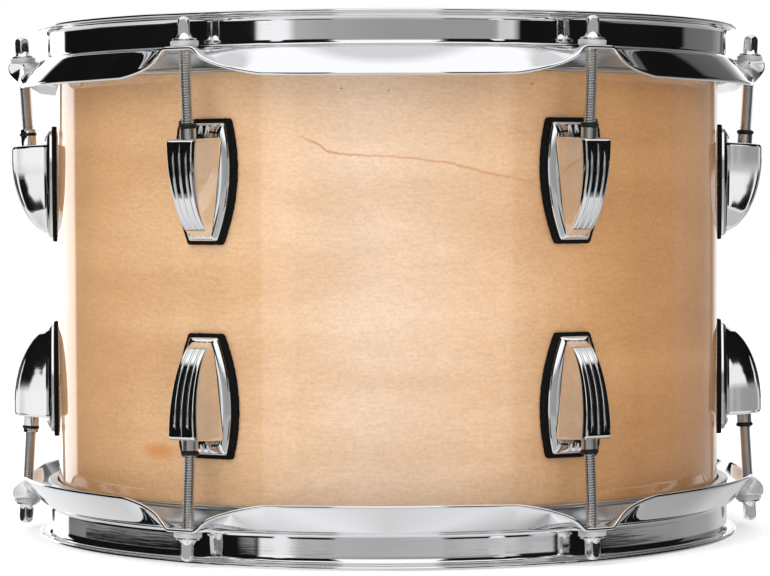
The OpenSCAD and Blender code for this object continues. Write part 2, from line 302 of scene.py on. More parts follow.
class Nodes:
    """A short way to build a node tree."""

    def __init__(self, tree):
        self.tree = tree
        self.tree.nodes.clear()

    def add(self, kind, **settings):
        node = self.tree.nodes.new(kind)
        for key, value in settings.items():
            setattr(node, key, value)
        return node

    def link(self, source, target):
        self.tree.links.new(source, target)

    def math(self, operation, a, b=None, clamp=False):
        node = self.add("ShaderNodeMath", operation=operation, use_clamp=clamp)
        for socket, value in zip(node.inputs, (a, b)):
            if isinstance(value, (int, float)):
                socket.default_value = value
            elif value is not None:
                self.link(value, socket)
        return node.outputs[0]

    def ramp(self, value, stops, smooth=False):
        node = self.add("ShaderNodeValToRGB")
        node.color_ramp.interpolation = "EASE" if smooth else "LINEAR"
        elements = node.color_ramp.elements
        while len(elements) < len(stops):
            elements.new(1.0)
        for element, (place, colour) in zip(elements, stops):
            element.position = place
            shade = colour if isinstance(colour, tuple) else (colour, colour, colour)
            element.color = (*shade, 1)
        self.link(value, node.inputs["Fac"])
        return node.outputs["Color"]

    def mix(self, blend, factor, a, b):
        node = self.add("ShaderNodeMix", data_type="RGBA", blend_type=blend)
        for socket, value in zip((node.inputs[0], node.inputs[6], node.inputs[7]), (factor, a, b)):
            if isinstance(value, tuple):
                socket.default_value = (*value, 1)
            elif isinstance(value, (int, float)):
                socket.default_value = value
            else:
                self.link(value, socket)
        return node.outputs[2]

    def noise(self, vector, scale, detail=4.0, roughness=0.5, distortion=0.0):
        node = self.add("ShaderNodeTexNoise")
        node.inputs["Scale"].default_value = scale
        node.inputs["Detail"].default_value = detail
        node.inputs["Roughness"].default_value = roughness
        node.inputs["Distortion"].default_value = distortion
        self.link(vector, node.inputs["Vector"])
        return node.outputs["Fac"]

    def scaled(self, vector, scale):
        node = self.add("ShaderNodeMapping")
        node.inputs["Scale"].default_value = scale
        self.link(vector, node.inputs["Vector"])
        return node.outputs["Vector"]

    def bump(self, height, strength, distance):
        node = self.add("ShaderNodeBump")
        node.inputs["Strength"].default_value = strength
        node.inputs["Distance"].default_value = distance
        self.link(height, node.inputs["Height"])
        return node.outputs["Normal"]

    def place(self):
        return self.add("ShaderNodeTexCoord").outputs["Object"]

    def split(self, vector):
        node = self.add("ShaderNodeSeparateXYZ")
        self.link(vector, node.inputs[0])
        return node.outputs

    def turn(self, x, y):
        """The angle from the front, towards +X, in radians."""
        return self.math("ARCTAN2", x, self.math("MULTIPLY", y, -1.0))

    def length(self, a, b):
        """How far off a point is that lies a away one way and b at right angles to it."""
        squares = [self.math("MULTIPLY", side, side) for side in (a, b)]
        return self.math("SQRT", self.math("ADD", *squares))

    def past(self, value, start, unit):
        """How far a value is past a start, in a unit."""
        return self.math("DIVIDE", self.math("SUBTRACT", value, start), unit)

    def round_the_drum(self):
        """Coordinates along the drum's girth, out from its axis and up it, in metres."""
        x, y, z = self.split(self.place())
        girth = self.math("MULTIPLY", self.turn(x, y), SHELL_R * MM)
        joined = self.add("ShaderNodeCombineXYZ")
        for source, target in zip((girth, self.length(x, y), z), joined.inputs):
            self.link(source, target)
        return joined.outputs[0], girth, z


def turn_stops(*pairs):
    """Ramp stops from angles round the drum, in degrees from the front."""
    return [((degrees + 180) / 360, shade) for degrees, shade in pairs]


def rise_stops(*pairs):
    """Ramp stops from heights in degrees above the horizon."""
    return [((degrees + 90) / 180, shade) for degrees, shade in pairs]


def material(name, base, roughness, metallic=0.0, build=None, **sockets):
    """A Principled material. build adds the nodes that vary over the surface."""
    made = bpy.data.materials.new(name)
    made.use_nodes = True
    made.diffuse_color = (*base, 1)
    nodes = Nodes(made.node_tree)
    shader = nodes.add("ShaderNodeBsdfPrincipled")
    output = nodes.add("ShaderNodeOutputMaterial")
    nodes.link(shader.outputs[0], output.inputs[0])
    shader.inputs["Base Color"].default_value = (*base, 1)
    shader.inputs["Roughness"].default_value = roughness
    shader.inputs["Metallic"].default_value = metallic
    for key, value in sockets.items():
        shader.inputs[key.replace("_", " ")].default_value = value
    if build:
        build(nodes, shader)
    return made


def chrome_look(bump_scale, bump_depth, smear):
    """Bright plating: a slow waviness, faint polishing marks and a little uneven haze."""
    def build(nodes, shader):
        place = nodes.place()
        waves = nodes.noise(place, bump_scale, 2.0)
        marks = nodes.noise(nodes.scaled(place, (60, 60, 900)), 1.0, 3.0)
        haze = nodes.noise(place, 45.0, 5.0)
        nodes.link(nodes.ramp(haze, [(0.35, smear * 0.5), (0.75, smear * 1.6)]), shader.inputs["Roughness"])
        height = nodes.mix("MIX", 0.12, waves, marks)
        nodes.link(nodes.bump(height, 0.35, bump_depth), shader.inputs["Normal"])
    return build


# The mineral streak: its start and length round the shell, and the height and size of its span
STREAK_START = -40
STREAK_LENGTH = 120
STREAK_LOW = 150
STREAK_SPAN = 30
# Millimetres along the streak, and its height there as a share of the span
STREAK_PATH = (
    (4, 0.82), (10, 0.75), (15, 0.63), (20, 0.59), (46, 0.54), (67, 0.45), (76, 0.36), (105, 0.17),
)
# Millimetres along the streak, and how strong it is there
STREAK_STRENGTH = ((2, 0.0), (10, 0.9), (40, 0.5), (85, 0.8), (106, 0.0))

# Smudges and specks: millimetres round from the front and up from the drum's foot, half the width
# and half the height, strength and colour
MARKS = (
    (-104, 45, 13, 5, 0.85, (0.62, 0.25, 0.06)),
    (-92, 60, 30, 3, 0.2, (0.62, 0.30, 0.10)),
    (-19, 194, 0.7, 0.5, 0.8, (0.12, 0.05, 0.02)),
    (0, 193, 0.5, 0.7, 0.8, (0.12, 0.05, 0.02)),
    (30, 108, 35, 6, 0.12, (0.62, 0.33, 0.13)),
    (60, 196, 1.0, 0.8, 0.8, (0.35, 0.08, 0.03)),
)


def veneer(nodes, vector, girth, grain):
    """The maple's colour: broad figure, bands, pores, and painted light round the shell, paler at the front
    and darker at the sides.
    """
    turn = nodes.math("ADD", nodes.math("DIVIDE", girth, 2 * math.pi * SHELL_R * MM), 0.5)
    broad = nodes.noise(nodes.scaled(vector, (9, 1, 34)), 1.0, 3.0, 0.5, 0.4)
    mottle = nodes.noise(nodes.scaled(vector, (520, 1, 800)), 1.0, 4.0, 0.75)
    bands = nodes.noise(nodes.scaled(vector, (42, 1, 3)), 1.0, 2.0, 0.4)
    colour = nodes.ramp(broad, [
        (0.25, (0.715, 0.465, 0.275)),
        (0.50, (0.800, 0.553, 0.353)),
        (0.75, (0.885, 0.645, 0.445)),
    ])
    # Painted light round the shell: a broad painted highlight makes the front paler, and painted shade
    # makes the sides darker.
    tone = nodes.ramp(turn, turn_stops(
        (-180, (0.80, 0.64, 0.45)), (-62, (0.80, 0.60, 0.37)), (-33, (0.93, 0.81, 0.65)),
        (-20, (0.95, 0.86, 0.75)), (-4, (1.0, 1.03, 1.12)), (8, (0.97, 0.95, 0.96)),
        (22, (0.90, 0.78, 0.65)), (34, (0.82, 0.62, 0.39)), (44, (0.68, 0.47, 0.25)),
        (60, (0.66, 0.47, 0.28)), (90, (0.78, 0.60, 0.40)), (180, (0.80, 0.64, 0.45)),
    ))
    colour = nodes.mix("MULTIPLY", 1.0, colour, tone)
    for share, pattern, stops in (
            (0.3, bands, [(0.3, 0.82), (0.7, 1.0)]),
            (0.5, grain, [(0.3, 0.76), (0.62, 1.0)]),
            (0.6, mottle, [(0.28, 0.70), (0.6, 1.0)])):
        colour = nodes.mix("MULTIPLY", share, colour, nodes.ramp(pattern, stops))
    return colour


def streaked(nodes, colour, vector, girth, z):
    """Draws the mineral streak over a colour, as a thin line that wanders a little."""
    along = nodes.past(girth, STREAK_START * MM, STREAK_LENGTH * MM)
    path = nodes.ramp(along, [(place / STREAK_LENGTH, share) for place, share in STREAK_PATH])
    wander = nodes.math("MULTIPLY", nodes.noise(nodes.scaled(vector, (300, 1, 1)), 1.0, 3.0), 0.05)
    rise = nodes.math("SUBTRACT", nodes.past(z, STREAK_LOW * MM, STREAK_SPAN * MM), path)
    off = nodes.math("ABSOLUTE", nodes.math("ADD", rise, nodes.math("SUBTRACT", wander, 0.025)))
    line = nodes.ramp(off, [(0.004, 1.0), (0.024, 0.0)])
    strength = nodes.ramp(along, [(place / STREAK_LENGTH, share) for place, share in STREAK_STRENGTH])
    return nodes.mix("MIX", nodes.math("MULTIPLY", line, strength), colour, (0.52, 0.22, 0.065))


def maple_look(nodes, shader):
    """Figured maple: veneer with painted light that makes it pale at the front and darker honey at the
    sides, fine grain and marks.
    """
    vector, girth, z = nodes.round_the_drum()
    grain = nodes.noise(nodes.scaled(vector, (160, 1, 700)), 1.0, 5.0, 0.7)
    colour = streaked(nodes, veneer(nodes, vector, girth, grain), vector, girth, z)
    for place, height, across, up, strength, shade in MARKS:
        beside = nodes.past(girth, place * MM, across * MM)
        above = nodes.past(z, height * MM, up * MM)
        patch = nodes.ramp(nodes.length(beside, above), [(0.2, strength), (1.0, 0.0)], smooth=True)
        colour = nodes.mix("MIX", patch, colour, shade)
    nodes.link(colour, shader.inputs["Base Color"])
    nodes.link(nodes.ramp(grain, [(0.2, 0.42), (0.8, 0.60)]), shader.inputs["Roughness"])
    nodes.link(nodes.bump(grain, 0.12, 0.0001), shader.inputs["Normal"])


def satin_look(direction, depth):
    """Drawn or brushed metal, with fine lines along one direction."""
    def build(nodes, shader):
        lines = nodes.noise(nodes.scaled(nodes.place(), direction), 1.0, 4.0, 0.6)
        nodes.link(nodes.ramp(lines, [(0.25, 0.22), (0.75, 0.42)]), shader.inputs["Roughness"])
        nodes.link(nodes.bump(lines, 0.4, depth), shader.inputs["Normal"])
    return build


def fibre_look(nodes, shader):
    """Felted black sheet: fine fibres that catch a little light."""
    place = nodes.place()
    fibres = nodes.noise(nodes.scaled(place, (900, 900, 2600)), 1.0, 6.0, 0.75, 1.5)
    colour = nodes.ramp(fibres, [
        (0.45, (0.003, 0.003, 0.003)),
        (0.66, (0.012, 0.012, 0.011)),
        (0.80, (0.120, 0.115, 0.110)),
    ])
    nodes.link(colour, shader.inputs["Base Color"])
    nodes.link(nodes.bump(fibres, 0.9, 0.0003), shader.inputs["Normal"])


def film_look(nodes, shader):
    """Coated head: a fine sprayed texture."""
    grit = nodes.noise(nodes.place(), 2600.0, 3.0, 0.6)
    tone = nodes.noise(nodes.place(), 18.0, 2.0)
    colour = nodes.ramp(tone, [(0.3, (0.80, 0.80, 0.775)), (0.7, (0.85, 0.85, 0.83))])
    nodes.link(colour, shader.inputs["Base Color"])
    nodes.link(nodes.bump(grit, 0.5, 0.00006), shader.inputs["Normal"])


def thread_look(nodes, shader):
    """Plated steel, with painted shade down in the thread."""
    painted_thread_shade = nodes.add("ShaderNodeAmbientOcclusion", samples=8, only_local=True)
    painted_thread_shade.inputs["Distance"].default_value = 0.0009
    # Ambient occlusion darkens the colour in the thread's roots: painted shade.
    colour = nodes.ramp(painted_thread_shade.outputs["AO"], [(0.32, 0.10), (0.62, 0.95)])
    nodes.link(colour, shader.inputs["Base Color"])
    spots = nodes.noise(nodes.place(), 900.0, 4.0)
    nodes.link(nodes.ramp(spots, [(0.3, 0.10), (0.7, 0.24)]), shader.inputs["Roughness"])


def moulded_look(scale, depth, low, high):
    """A moulded or plated surface with a light random texture."""
    def build(nodes, shader):
        spots = nodes.noise(nodes.place(), scale, 4.0)
        nodes.link(nodes.ramp(spots, [(0.3, low), (0.7, high)]), shader.inputs["Roughness"])
        nodes.link(nodes.bump(spots, 0.3, depth), shader.inputs["Normal"])
    return build


MATERIALS = {
    "maple_shell": material(
        "maple_shell", (0.64, 0.40, 0.21), 0.5, build=maple_look, Coat_Weight=1.0, Coat_Roughness=0.03,
        Coat_IOR=1.65),
    "chrome_plate": material(
        "chrome_plate", (0.90, 0.905, 0.92), 0.04, 1.0, chrome_look(26.0, 0.0001, 0.045)),
    "chrome_casting": material(
        "chrome_casting", (0.90, 0.905, 0.915), 0.04, 1.0, chrome_look(70.0, 0.00008, 0.04)),
    "rod_steel": material(
        "rod_steel", (0.70, 0.70, 0.70), 0.16, 1.0, thread_look),
    "nut_steel": material(
        "nut_steel", (0.66, 0.64, 0.61), 0.25, 1.0, satin_look((3000, 3000, 200), 0.00003)),
    "pale_washer": material(
        "pale_washer", (0.74, 0.75, 0.76), 0.4, 0.55, moulded_look(1500.0, 0.00006, 0.35, 0.55)),
    "satin_aluminium": material(
        "satin_aluminium", (0.60, 0.60, 0.60), 0.3, 1.0, satin_look((40, 40, 2600), 0.00004)),
    "head_film": material("head_film", (0.83, 0.83, 0.80), 0.6, build=film_look),
    "black_gasket": material(
        "black_gasket", (0.02, 0.02, 0.02), 0.9, build=fibre_look, Specular_IOR_Level=0.15),
    "black_rubber": material(
        "black_rubber", (0.008, 0.008, 0.008), 0.4, build=moulded_look(700.0, 0.00005, 0.32, 0.5),
        Specular_IOR_Level=0.3),
    "white_nylon": material(
        "white_nylon", (0.78, 0.78, 0.74), 0.45, build=moulded_look(800.0, 0.00004, 0.4, 0.55)),
    "zinc_steel": material(
        "zinc_steel", (0.56, 0.57, 0.58), 0.35, 1.0, moulded_look(1200.0, 0.00005, 0.28, 0.45)),
}


def dress(piece, slot, body, *nodes):
    """Gives a piece its material and body, and hides the CAD nodes that it stands for."""
    piece.data.materials.clear()
    piece.data.materials.append(MATERIALS[slot])
    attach(piece, body)
    if nodes:
        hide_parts(*nodes)
    return piece


# ---- counter hoops ----

def ear_share(s):
    """How much of the ear's height is left at a distance s round the hoop."""
    soft = 0.45
    past = math.log1p(math.exp(min(60.0, (s - EAR_FLAT) / soft))) * soft
    corner = 0.2 * (1 - math.exp(-past / 2))
    tail = 0.03 * smooth_step(25, 60, s)
    return max(0.0, math.exp(-past / EAR_FALL) * (1 - corner) - tail)


def rim_line():
    """Middle line of the sheet from the lip's end to the foot of the wall."""
    lip_mid = LIP_Z - SHEET / 2
    bend_mid = (WALL_R + LIP_BEND, LIP_Z - SHEET - LIP_BEND)
    foot_mid = (WALL_R + FOOT_BEND, SHOULDER_Z + SHEET + FOOT_BEND)
    line = [(LIP_R - SHEET / 2, lip_mid)]
    line += arc(bend_mid, LIP_BEND + SHEET / 2, 90, 180, 10)
    wall_low = foot_mid[1]
    wall_high = bend_mid[1]
    line += [(WALL_R - SHEET / 2, wall_high + (wall_low - wall_high) * t) for t in (0.1, 0.5, 0.9)]
    line += arc(foot_mid, FOOT_BEND + SHEET / 2, 180, 268, 7)
    return line


def skirt_line(count):
    """Middle line from the shoulder down the skirt, halfway between two ears."""
    corner = (SHOULDER_R, SHOULDER_Z + SHEET - FOOT_BEND)
    bend = arc(corner, FOOT_BEND - SHEET / 2, 90, math.degrees(SKIRT_LEAN), 5)
    start = Vector(bend[-1])
    fall = (start.y - SKIRT_Z - SHEET / 2) / math.cos(SKIRT_LEAN)
    way = Vector((math.sin(SKIRT_LEAN), -math.cos(SKIRT_LEAN)))
    out = Vector((math.cos(SKIRT_LEAN), math.sin(SKIRT_LEAN)))
    rest = count - len(bend)
    shares = [(k + 1) / rest for k in range(rest)]
    return bend + [tuple(start + way * fall * t + out * SKIRT_DOME * 4 * t * (1 - t)) for t in shares]


def ear_line(count):
    """Middle line from the shoulder out along the ear, at the rod."""
    low = SHOULDER_Z + SHEET / 2
    points = []
    for k in range(count):
        t = k / (count - 1)
        r = SHOULDER_R + (EAR_TIP_R - SHEET / 2 - SHOULDER_R) * t
        plane = EAR_Z - SHEET / 2 - (r - ROD_R) * math.tan(ROD_TILT)
        points.append((r, low + (plane - low) * smooth_step(0.0, 0.22, t)))
    return points


def hoop_middle():
    """The sheet's middle surface, as rows of points round the drum."""
    rim = rim_line()
    count = 20
    skirt = skirt_line(count)
    ear = ear_line(count)
    half = math.radians(LUG_STEP) / 2
    steps = 56
    angles = []
    for i in LUGS:
        centre = math.radians(LUG_STEP) * (i - 1)
        away = [half * (k / steps) ** 1.5 for k in range(steps + 1)]
        angles += [(centre - a, a) for a in away[:0:-1]]
        angles += [(centre + a, a) for a in away[:-1]]
    rows = []
    for angle, off in angles:
        s = off * ROD_R
        rise = ear_share(s)
        reach = smooth_step(0.1, 0.85, rise)
        section = list(rim)
        for (r0, z0), (r1, z1) in zip(skirt, ear):
            section.append((r0 + (r1 - r0) * reach, z0 + (z1 - z0) * rise))
        rows.append([(r * math.cos(angle), r * math.sin(angle), z) for r, z in section])
    return np.array(rows)


def sheet_mesh(middle, thickness):
    """A closed sheet of even thickness round a middle surface that closes on itself."""
    along = np.gradient(middle, axis=1)
    around = np.roll(middle, -1, axis=0) - np.roll(middle, 1, axis=0)
    normal = np.cross(around, along)
    normal /= np.linalg.norm(normal, axis=2, keepdims=True)
    half = thickness / 2
    columns = [middle[:, k] + normal[:, k] * half for k in range(middle.shape[1])]

    def edge(k, way):
        out = along[:, k] * way
        out = out - normal[:, k] * np.sum(out * normal[:, k], axis=1, keepdims=True)
        out /= np.linalg.norm(out, axis=1, keepdims=True)
        turns = [math.radians(a) for a in (60, 30, 0, -30, -60)]
        made = [middle[:, k] + half * (math.sin(t) * normal[:, k] + math.cos(t) * out) for t in turns]
        return made if way > 0 else made[::-1]

    columns += edge(-1, 1)
    columns += [middle[:, k] - normal[:, k] * half for k in range(middle.shape[1] - 1, -1, -1)]
    columns += edge(0, -1)
    rows = np.stack(columns, axis=1)
    return grid([[tuple(p) for p in row] for row in rows], wrap_rows=True, wrap_columns=True)


def make_hoop(side):
    verts, faces = sheet_mesh(hoop_middle(), SHEET)
    hoop = shape(f"{side}_rim_hoop", verts, faces, side_matrix(side), 50)
    holes = [moved(cylinder(EAR_HOLE_R, -5, 5), rod_in_side(i)) for i in LUGS]
    cut_out(hoop, shape("hole_tool", *join(*holes), side_matrix(side)))
    dress(hoop, "chrome_plate", f"{side}_hoop_set", f"{side}_hoop")


# ---- flesh hoops and heads ----

def make_flesh_hoop(side):
    """The channel that holds the film, with a round bead along its lower edge."""
    inner = SHELL_R + 0.7
    outer = SHELL_R + 4.8
    low = EDGE_Z - 13.2
    bead = 0.95
    wall = outer - 0.4
    edge = 0.5
    inner_edge = 0.3
    profile = arc((outer - bead, low + bead), bead, -90, 78, 8)
    profile += [(wall - 0.05, low + 2 * bead + 0.1), (wall, low + 2.4), (wall, SHOULDER_Z - edge)]
    profile += arc((wall - edge, SHOULDER_Z - edge), edge, 20, 90, 4)
    profile += arc((inner + inner_edge, SHOULDER_Z - inner_edge), inner_edge, 90, 180, 3)
    profile += arc((inner + inner_edge, low + inner_edge), inner_edge, 180, 270, 3)
    verts, faces = lathe(profile, 300, closed=True)
    ring = shape(f"{side}_head_ring", verts, faces, side_matrix(side))
    dress(ring, "satin_aluminium", f"{side}_hoop_set", f"{side}_flesh_hoop")


def make_head(side):
    """The film, flat to near the shell's edge, where it bends down to the flesh hoop."""
    film = 0.25
    crown = SHELL_R - 1.7
    bend = 3.4
    low = EDGE_Z - 6.8
    top = EDGE_Z + film
    outside = [(0.001, top), (60, top), (120, top), (crown - 6, top)]
    outside += arc((crown, EDGE_Z - bend + film), bend, 90, 0, 10)
    outside += [(crown + bend, low)]
    inside = [(crown + bend - film, low)]
    inside += arc((crown, EDGE_Z - bend + film), bend - film, 0, 90, 10)
    inside += [(120, EDGE_Z), (60, EDGE_Z), (0.001, EDGE_Z)]
    verts, faces = lathe(outside + inside, 300)
    head = shape(f"{side}_skin", verts, faces, side_matrix(side))
    dress(head, "head_film", "drum", f"{side}_head")


# ---- tension rods ----

def thread():
    """A right-handed thread as one strip with a triangular section."""
    per_turn = 24
    start = ROD_END + 1.2
    turns = -1.2 - start
    count = int(turns / PITCH * per_turn)
    rows = []
    for k in range(count + 1):
        a = 2 * math.pi * k / per_turn
        z = start + PITCH * k / per_turn
        fade = min(1.0, k / per_turn, (count - k) / per_turn)
        crest = CORE_R - 0.1 + (THREAD_R - CORE_R + 0.1) * fade
        root = CORE_R - 0.15
        half = PITCH * 0.49
        tip = PITCH * 0.09
        section = ((root, -half), (crest, -tip), (crest, tip), (root, half))
        rows.append([(r * math.cos(a), r * math.sin(a), z + dz) for r, dz in section])
    return grid(rows, wrap_columns=True, cap=True)


def rod_shank():
    """The rod's core, which the thread winds round."""
    tip = arc((CORE_R - 0.5, ROD_END + 0.5), 0.5, -90, 0, 3)
    return lathe([(0.01, ROD_END)] + tip + [(CORE_R, WASHER_H), (0.01, WASHER_H + 0.5)], 32)


def rod_flange():
    high = FLANGE_LOW + FLANGE_H
    low_edge = 0.25
    high_edge = 0.35
    profile = [(0.01, FLANGE_LOW)]
    profile += arc((FLANGE_R - low_edge, FLANGE_LOW + low_edge), low_edge, -90, 0, 3)
    profile += arc((FLANGE_R - high_edge, high - high_edge), high_edge, 0, 90, 4)
    profile += [(2.6, high + 0.02), (0.01, high + 0.02)]
    return lathe(profile, 48)


def square_radius(angle, half, corner):
    """Distance from the middle of a rounded square to its side, at an angle."""
    a = abs((angle + math.pi / 4) % (math.pi / 2) - math.pi / 4)
    flat_end = math.atan2(half - corner, half)
    if a <= flat_end:
        return half / math.cos(a)
    inset = (half - corner) * math.sqrt(2)
    off = math.pi / 4 - a
    return inset * math.cos(off) + math.sqrt(max(0.0, corner ** 2 - (inset * math.sin(off)) ** 2))


def rod_key(turn):
    """The square head: a flared foot, flats with rounded corners and a domed top."""
    top = FLANGE_LOW + FLANGE_H + KEY_H
    low = top - KEY_H - 0.05
    domed = 1.5
    steps = 96
    levels = [low + 0.12 * k for k in range(26)]
    levels += [low + 4, low + 6, top - domed - 0.1]
    levels += [top - domed + domed * math.sin(math.radians(90) * k / 12) for k in range(1, 12)]
    rows = []
    for z in levels:
        above = z - low
        foot = KEY_FOOT_R - KEY_FOOT_SLOPE * above if above < KEY_FOOT_H else 0.0
        dome_rise = z - (top - KEY_DOME)
        dome = math.sqrt(max(0.01, KEY_DOME ** 2 - dome_rise ** 2)) if z > top - 2 else 9.0
        row = []
        for k in range(steps):
            a = 2 * math.pi * k / steps
            r = min(max(square_radius(a, KEY_W / 2, KEY_CORNER), foot), dome)
            row.append((r * math.cos(a + turn), r * math.sin(a + turn), z))
        rows.append(row)
    return grid(rows, wrap_columns=True, cap=True)


def make_rod(side, i):
    """One rod. The lower side is a mirror image, so its thread is mirrored first to stay right-handed."""
    hand = 1 if side == "batter" else -1
    rod_thread = moved(thread(), Matrix.Diagonal((1, hand, 1, 1)))
    turn = math.radians(KEY_TURNS[side][i - 1])
    parts = join(rod_shank(), rod_thread, rod_flange(), rod_key(turn))
    rod = shape(f"{side}_tension_rod_{i}", *parts, rod_matrix(side, i), 28)
    dress(rod, "rod_steel", f"{side}_rod_{i}", f"{side}_rod_{i}")


def make_washers(side):
    bore = THREAD_R + 0.2
    low = 0.02
    profile = rounded([(bore, low), (WASHER_R, low), (WASHER_R, WASHER_H), (bore, WASHER_H)], 0.3)
    parts = [moved(lathe(profile, 48, closed=True), rod_in_side(i)) for i in LUGS]
    washers = shape(f"{side}_washers", *join(*parts), side_matrix(side))
    dress(washers, "pale_washer", f"{side}_hoop_set", f"{side}_rod_washers")


# ---- swivel nuts ----

def make_nut(side, i):
    bore = THREAD_R + ROD_PLAY
    section = [
        (bore, NUT_END), (NUT_R, NUT_END), (NUT_R, COLLAR_END), (COLLAR_R, COLLAR_END),
        (COLLAR_R, COLLAR_TOP), (NUT_R, COLLAR_TOP), (NUT_R, NUT_TOP), (bore, NUT_TOP),
    ]
    verts, faces = lathe(rounded(section, 0.16), 48, closed=True)
    nut = shape(f"{side}_swivel_nut_{i}", verts, faces, rod_matrix(side, i))
    dress(nut, "nut_steel", "drum", f"{side}_nut_{i}")


def make_rings(side):
    tube = RING_H / 2
    profile = arc((RING_R - tube, NUT_TOP + 0.02 + tube), tube, 0, 337.5, 15)
    profile = [(max(r, THREAD_R + ROD_PLAY), z) for r, z in profile]
    parts = [moved(lathe(profile, 40, closed=True), rod_in_side(i)) for i in LUGS]
    rings = shape(f"{side}_tube_rings", *join(*parts), side_matrix(side), 60)
    dress(rings, "black_rubber", "drum", f"{side}_nut_rings")


# ---- lugs ----

def half_width(z):
    """Half the lug's width at a height, on a curve that is widest past the middle."""
    v = z - TAIL_Z
    return 8.3 + 0.4266 * v - 0.00679 * v * v


def on_shell(height, s, z):
    """A point at a height above the shell, s round it and z along it."""
    a = s / (SHELL_R + height)
    r = SHELL_R + height
    return (r * math.cos(a), r * math.sin(a), z)


def outline(inset, top_inset, tail_inset, corner, count):
    """The lug's outline as a count of evenly spaced (s, z) points, drawn in by insets."""
    low = TAIL_Z + tail_inset
    high = TAIL_Z + GASKET_LEN - top_inset
    steps = 24
    right = []
    for k in range(steps + 1):
        z = low + (high - low) * k / steps
        right.append((half_width(z) - inset, z))
    points = right + [(-s, z) for s, z in right[::-1]]
    last = len(points) - 1
    loop = []
    for k, point in enumerate(points):
        if k in (0, steps, steps + 1, last):
            loop += corner_curve(points[k - 1], point, points[(k + 1) % len(points)], corner, 6)
        else:
            loop.append(point)
    return even_loop(loop, count)


def even_loop(points, count):
    """A closed loop resampled to an even count of points, starting at the same corner."""
    ring = np.array(points + [points[0]])
    steps = np.linalg.norm(np.diff(ring, axis=0), axis=1)
    length = np.concatenate(([0], np.cumsum(steps)))
    wanted = np.linspace(0, length[-1], count, endpoint=False)
    return list(zip(np.interp(wanted, length, ring[:, 0]), np.interp(wanted, length, ring[:, 1])))


def gasket_part(seed):
    """The gasket: a soft sheet with a frayed edge."""
    middle = Vector((0, TAIL_Z + GASKET_LEN / 2))
    layers = []
    for height, inset in GASKET_STEPS:
        loop = outline(inset, inset, inset, 1.0, 520)
        layer = []
        # coarse and fine fraying, outwards from the middle
        for s, z in loop:
            fray = noise.noise(Vector((s * 1.7, z * 1.7, seed + height * 1.9))) * 0.3
            fray += noise.noise(Vector((s * 5.0, z * 5.0, seed - height * 4.0))) * 0.25
            out = (Vector((s, z)) - middle).normalized()
            layer.append(on_shell(height, s + out.x * fray, z + out.y * fray))
        layers.append(layer)
    return grid(layers, wrap_columns=True, cap=True)


def make_gaskets(side):
    parts = [moved(gasket_part(i * 7.3), lug_in_side(i)) for i in LUGS]
    gaskets = shape(f"{side}_lug_pads", *join(*parts), side_matrix(side), 80)
    dress(gaskets, "black_gasket", "drum", f"{side}_lug_gaskets")


def base_part():
    """The casing's base: an upright edge and a bevel that rises to the ridge's foot."""
    layers = []
    for height, inset, top_inset, tail_inset in BASE_STEPS:
        loop = outline(inset, top_inset, tail_inset, 0.8, 240)
        layers.append([on_shell(height, s, z) for s, z in loop])
    return grid(layers, wrap_columns=True, cap=True)


def ridge_path():
    """The ridge's crest from the cut to the tail, as (z, height above the shell)."""
    bend = 1.9
    path = arc((CUT_Z - bend, CREST - bend), bend, 4, 90, 8)
    oval_z = 56.0
    oval_reach = 35.5
    steps = 44
    for k in range(steps + 1):
        a = math.radians(64.5) * k / steps
        path.append((oval_z - oval_reach * math.sin(a), CREST * math.cos(a)))
    z, height = path[-1]
    path += [(z - 0.15, height - 0.2), (z - 0.35, height - 0.6)]
    z, height = path[-1]
    tail_z = 20.2
    tail_height = 2.4
    tail_steps = 10
    for k in range(1, tail_steps + 1):
        t = k / tail_steps
        path.append((z + (tail_z - z) * t, height + (tail_height - height) * t ** 0.9))
    return path


def face_half(z):
    """Half the width of the ridge's face at a height z."""
    return float(np.interp(z, (20, 27, 41, 55, CUT_Z), (4.85, 4.95, 5.4, 6.05, 6.35)))


def rib_height(offset, z, place):
    """Height of a half-round rib at a distance from its middle line."""
    gap = 3.0 if place == 0 else 5.8
    fade = smooth_step(0.0, 0.7, CUT_Z - gap - z)
    inside = 1 - (offset / RIB_HALF) ** 2
    return RIB_HEIGHT * fade * math.sqrt(inside) if inside > 0 else 0.0


def ridge_section(z, height):
    """One slice of the ridge from its foot over the face to the other foot, as (s, height)."""
    half = face_half(z)
    foot_h = min(4.3, height - 0.9)
    edge = 0.65
    spread = RIB_SPREAD_LOW + (RIB_SPREAD - RIB_SPREAD_LOW) * max(0.0, z - 20) / 41
    deep = height - edge - foot_h
    steps = 12
    flank = []
    for k in range(steps):
        fall = deep * (1 - k / steps) ** 1.5
        spread_out = 0.2 * fall + 0.003 * fall ** 2 + 0.1 * (1 - math.exp(-fall / 0.5))
        flank.append((half + spread_out, height - edge - fall))
    past_rib = (0.8, RIB_HALF, 0.46, 0.34, 0.17)
    offsets = (*past_rib, 0.0, *(-offset for offset in past_rib[::-1]))
    flat = half - edge - 0.02
    face = []
    for place in (1, 0, -1):
        for offset in offsets:
            s = min(max(place * spread + offset, -flat), flat)
            face.append((s, height + rib_height(offset, z, place)))
    right = flank + arc((half - edge, height - edge), edge, 0, 90, 4)
    left = [(-s, h) for s, h in right[::-1]]
    return right + face + left


def ridge_part():
    """The ridge: slices along its crest, closed at both ends. Its foot follows the shell's curve."""
    layers = []
    for z, height in ridge_path():
        lean = math.tan(ROD_TILT) * smooth_step(45, CUT_Z, z)
        layer = []
        for s, h in ridge_section(z, height):
            x = SHELL_R + h
            drop = s ** 2 / (2 * SHELL_R) * smooth_step(9, 5.3, h)
            layer.append((x - drop, s, z - (x - CUT_R) * lean))
        inner = SHELL_R + 3.2
        layers.append([(inner, *layer[0][1:]), *layer, (inner, *layer[-1][1:])])
    return grid(layers, wrap_columns=True, cap=True)


